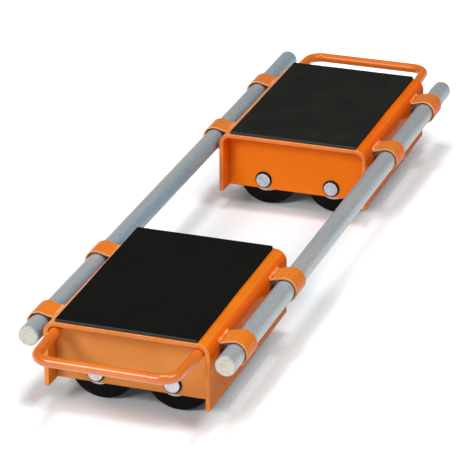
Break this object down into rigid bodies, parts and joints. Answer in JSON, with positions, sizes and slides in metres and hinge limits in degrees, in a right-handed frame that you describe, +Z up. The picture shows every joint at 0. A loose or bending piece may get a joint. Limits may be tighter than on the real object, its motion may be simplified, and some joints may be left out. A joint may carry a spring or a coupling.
{
  "type": "machine skate",
  "caption": "Pair of low roller skates for moving machines, each a bent steel channel with a rubber load pad, pull handle and rollers, sliding on round joining bars held in strap loops.",
  "frame": {"origin": "on the floor, midway between the two skates", "axes": "+Y along the joining bars and the roller axles, from the near skate to the far one; +Z up; the pair rolls along X"},
  "size_m": [0.2602, 0.994, 0.11],
  "materials": {
    "orange_paint": "gloss",
    "pad_rubber": "matte",
    "roller_black": "satin",
    "axle_steel": "turned",
    "bar_zinc": "galvanised",
    "bearing_steel": "ground",
    "spacer_zinc": "zinc plated",
    "ring_steel": "blackened"
  },
  "bodies": {
    "near_left_outer_roller": {"near_left_outer_roller": "roller_black", "near_left_outer_roller_bearing_rings": "bearing_steel"},
    "near_left_inner_roller": {"near_left_inner_roller": "roller_black", "near_left_inner_roller_bearing_rings": "bearing_steel"},
    "near_right_outer_roller": {"near_right_outer_roller": "roller_black", "near_right_outer_roller_bearing_rings": "bearing_steel"},
    "near_right_inner_roller": {"near_right_inner_roller": "roller_black", "near_right_inner_roller_bearing_rings": "bearing_steel"},
    "near_skate": {"near_channel": "orange_paint", "near_outer_end_plate": "orange_paint", "near_inner_end_plate": "orange_paint", "near_pad": "pad_rubber", "near_handle": "orange_paint", "near_left_outer_loop": "orange_paint", "near_left_inner_loop": "orange_paint", "near_left_axle": "axle_steel", "near_left_bearing_inner_rings": "bearing_steel", "near_left_spacer_tubes": "spacer_zinc", "near_left_side_washers": "spacer_zinc", "near_left_retaining_rings": "ring_steel", "near_right_outer_loop": "orange_paint", "near_right_inner_loop": "orange_paint", "near_right_axle": "axle_steel", "near_right_bearing_inner_rings": "bearing_steel", "near_right_spacer_tubes": "spacer_zinc", "near_right_side_washers": "spacer_zinc", "near_right_retaining_rings": "ring_steel"},
    "far_left_outer_roller": {"far_left_outer_roller": "roller_black", "far_left_outer_roller_bearing_rings": "bearing_steel"},
    "far_left_inner_roller": {"far_left_inner_roller": "roller_black", "far_left_inner_roller_bearing_rings": "bearing_steel"},
    "far_right_outer_roller": {"far_right_outer_roller": "roller_black", "far_right_outer_roller_bearing_rings": "bearing_steel"},
    "far_right_inner_roller": {"far_right_inner_roller": "roller_black", "far_right_inner_roller_bearing_rings": "bearing_steel"},
    "far_skate": {"far_channel": "orange_paint", "far_outer_end_plate": "orange_paint", "far_inner_end_plate": "orange_paint", "far_pad": "pad_rubber", "far_handle": "orange_paint", "far_left_outer_loop": "orange_paint", "far_left_inner_loop": "orange_paint", "far_left_axle": "axle_steel", "far_left_bearing_inner_rings": "bearing_steel", "far_left_spacer_tubes": "spacer_zinc", "far_left_side_washers": "spacer_zinc", "far_left_retaining_rings": "ring_steel", "far_right_outer_loop": "orange_paint", "far_right_inner_loop": "orange_paint", "far_right_axle": "axle_steel", "far_right_bearing_inner_rings": "bearing_steel", "far_right_spacer_tubes": "spacer_zinc", "far_right_side_washers": "spacer_zinc", "far_right_retaining_rings": "ring_steel"},
    "left_bar": {"left_bar": "bar_zinc"},
    "right_bar": {"right_bar": "bar_zinc"}
  },
  "joints": [
    {"name": "near_left_outer_roller_spin", "type": "hinge", "parent": "near_skate", "child": "near_left_outer_roller", "pos_m": [-0.0452, -0.3375, 0.04], "axis": [0, 1, 0], "continuous": true},
    {"name": "near_left_inner_roller_spin", "type": "hinge", "parent": "near_skate", "child": "near_left_inner_roller", "pos_m": [-0.0452, -0.2415, 0.04], "axis": [0, 1, 0], "continuous": true},
    {"name": "near_right_outer_roller_spin", "type": "hinge", "parent": "near_skate", "child": "near_right_outer_roller", "pos_m": [0.0452, -0.3375, 0.04], "axis": [0, 1, 0], "continuous": true},
    {"name": "near_right_inner_roller_spin", "type": "hinge", "parent": "near_skate", "child": "near_right_inner_roller", "pos_m": [0.0452, -0.2415, 0.04], "axis": [0, 1, 0], "continuous": true},
    {"name": "far_left_outer_roller_spin", "type": "hinge", "parent": "far_skate", "child": "far_left_outer_roller", "pos_m": [-0.0452, 0.3375, 0.04], "axis": [0, 1, 0], "continuous": true},
    {"name": "far_left_inner_roller_spin", "type": "hinge", "parent": "far_skate", "child": "far_left_inner_roller", "pos_m": [-0.0452, 0.2415, 0.04], "axis": [0, 1, 0], "continuous": true},
    {"name": "far_right_outer_roller_spin", "type": "hinge", "parent": "far_skate", "child": "far_right_outer_roller", "pos_m": [0.0452, 0.3375, 0.04], "axis": [0, 1, 0], "continuous": true},
    {"name": "far_right_inner_roller_spin", "type": "hinge", "parent": "far_skate", "child": "far_right_inner_roller", "pos_m": [0.0452, 0.2415, 0.04], "axis": [0, 1, 0], "continuous": true},
    {"name": "spacing_slide", "type": "slide", "parent": "near_skate", "child": "far_skate", "axis": [0, 1, 0], "range_m": [-0.3, 0.05]},
    {"name": "left_bar_slide", "type": "slide", "parent": "near_skate", "child": "left_bar", "axis": [0, 1, 0], "range_m": [-0.095, 0.025]},
    {"name": "right_bar_slide", "type": "slide", "parent": "near_skate", "child": "right_bar", "axis": [0, 1, 0], "range_m": [-0.05, 0.025]}
  ]
}
